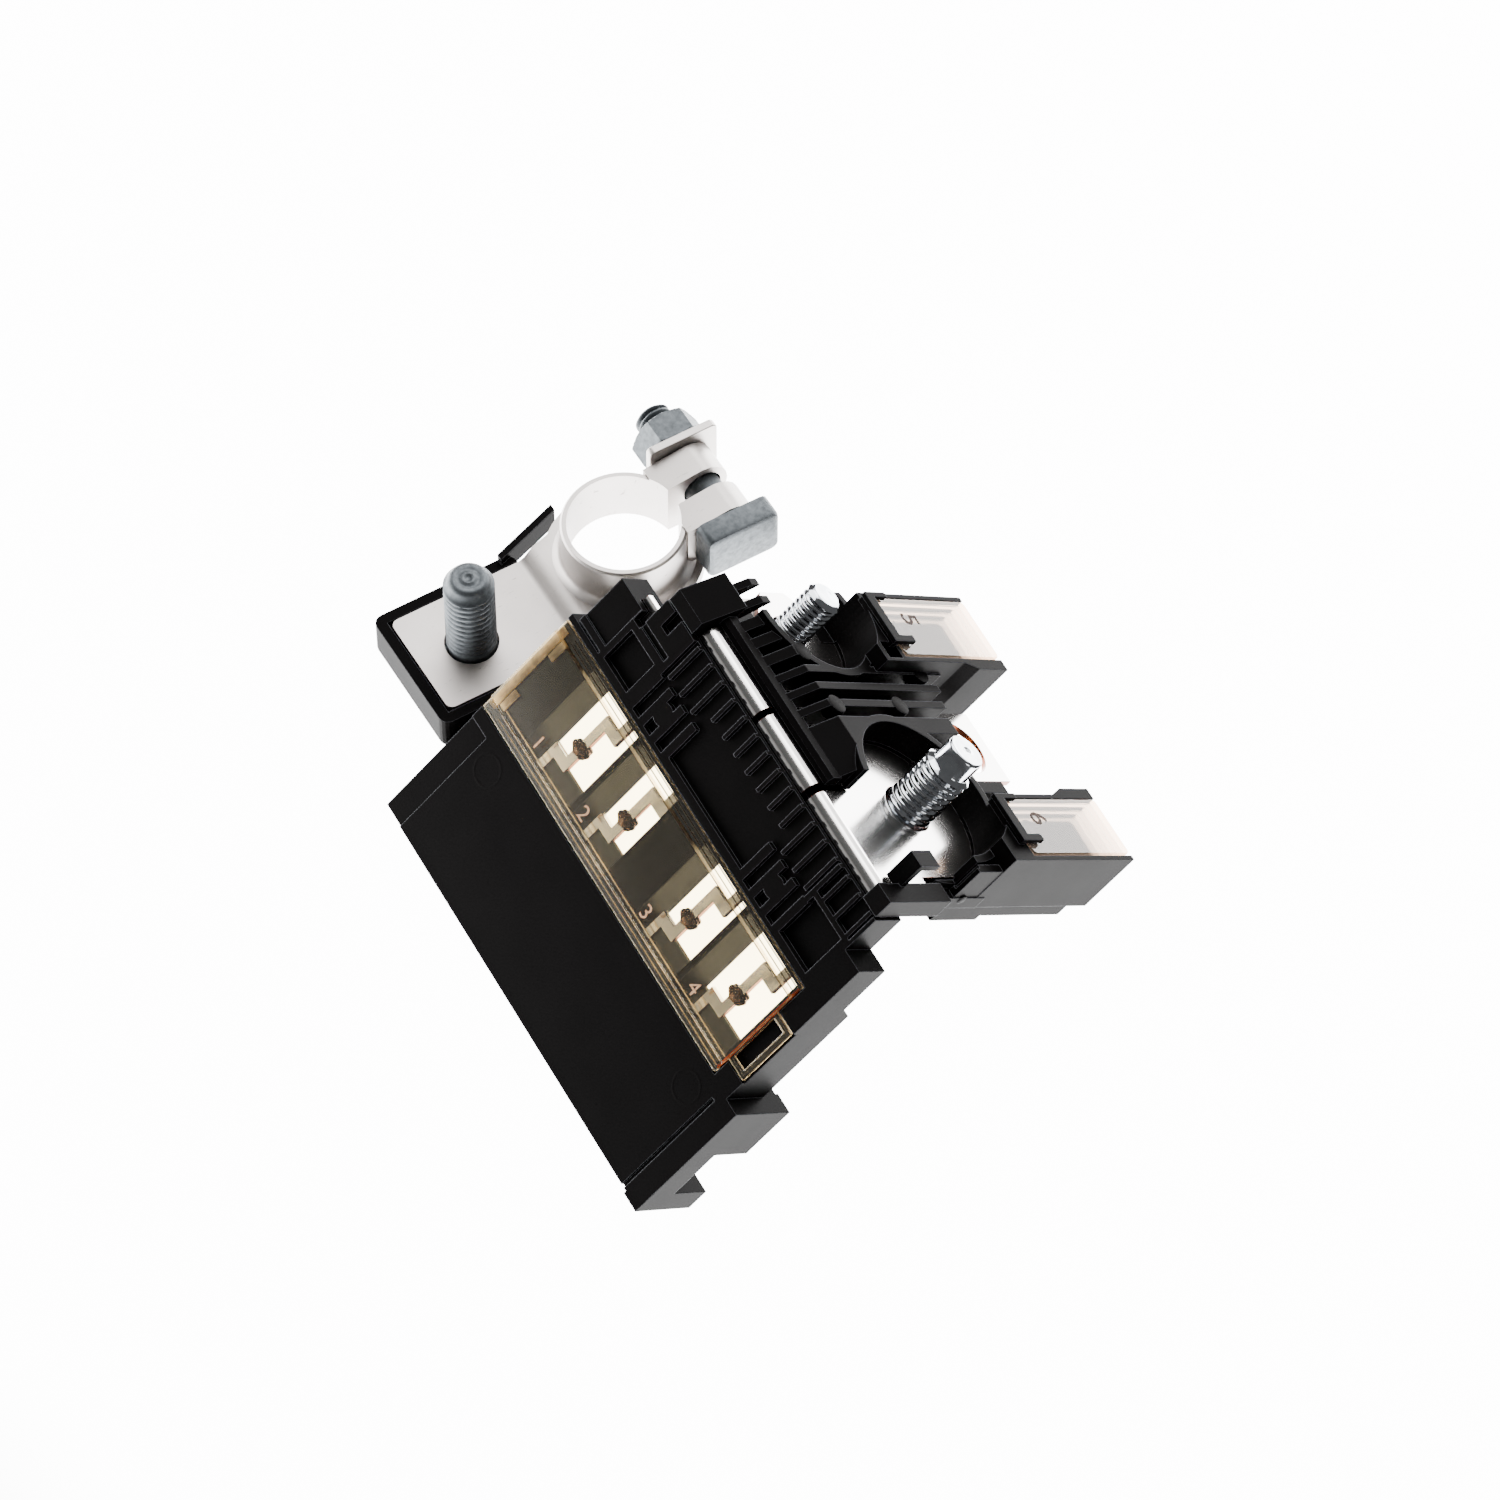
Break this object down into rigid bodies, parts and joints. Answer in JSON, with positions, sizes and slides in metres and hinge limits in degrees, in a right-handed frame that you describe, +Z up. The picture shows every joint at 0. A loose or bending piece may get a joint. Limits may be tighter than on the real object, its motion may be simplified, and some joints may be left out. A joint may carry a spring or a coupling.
{
  "type": "battery terminal fuse block",
  "caption": "Fuse block on a battery post clamp: bent bus bar with windowed fuse cells, two stud bays and two covered fuse arms.",
  "frame": {"origin": "middle of the battery post's bore, at the top of the clamp plate", "axes": "+Z up along the stud axes of the bus plate, +X along the bend of the bus bar, +Y from the window face toward the two fuse arms"},
  "size_m": [0.1115, 0.0661, 0.0784],
  "materials": {
    "black_nylon": "semi-matte glass-filled nylon",
    "tinned_copper": "satin tin plate on copper",
    "amber_clear": "clear amber plastic",
    "pale_clear": "pale clear plastic",
    "tin": "crimped tin",
    "bright_zinc": "bright plate",
    "matte_tin": "matte white tin plate",
    "grey_zinc": "dull grey zinc"
  },
  "bodies": {
    "block": {"front_housing": "black_nylon", "top_housing": "black_nylon", "bus_bar": "tinned_copper", "window_cover": "amber_clear", "rear_cover": "pale_clear", "tin_pellet_1": "tin", "tin_pellet_2": "tin", "tin_pellet_3": "tin", "tin_pellet_4": "tin", "m8_stud": "bright_zinc", "m6_stud": "bright_zinc", "arm_cover_a": "pale_clear", "arm_cover_b": "pale_clear", "arm_link_a": "tinned_copper", "arm_link_b": "tinned_copper", "clamp_body": "matte_tin", "clamp_tray": "black_nylon", "clamp_stud": "grey_zinc", "clamp_bolt": "grey_zinc"},
    "washer": {"clamp_washer": "matte_tin"},
    "nut": {"clamp_nut": "grey_zinc"}
  },
  "joints": [
    {"name": "washer_slide", "type": "slide", "parent": "block", "child": "washer", "axis": [-0.9925, 0.0831, -0.0891], "range_m": [0, 0.004]},
    {"name": "nut_turn", "type": "hinge", "parent": "washer", "child": "nut", "pos_m": [-0.0006, 0.00765, 0.01379], "axis": [-0.9925, 0.0831, -0.0891], "range_deg": [0, 1440]}
  ],
  "couplings": [
    {"joint": "nut_turn", "follows": "washer_slide", "rad_per_m": 6283}
  ]
}
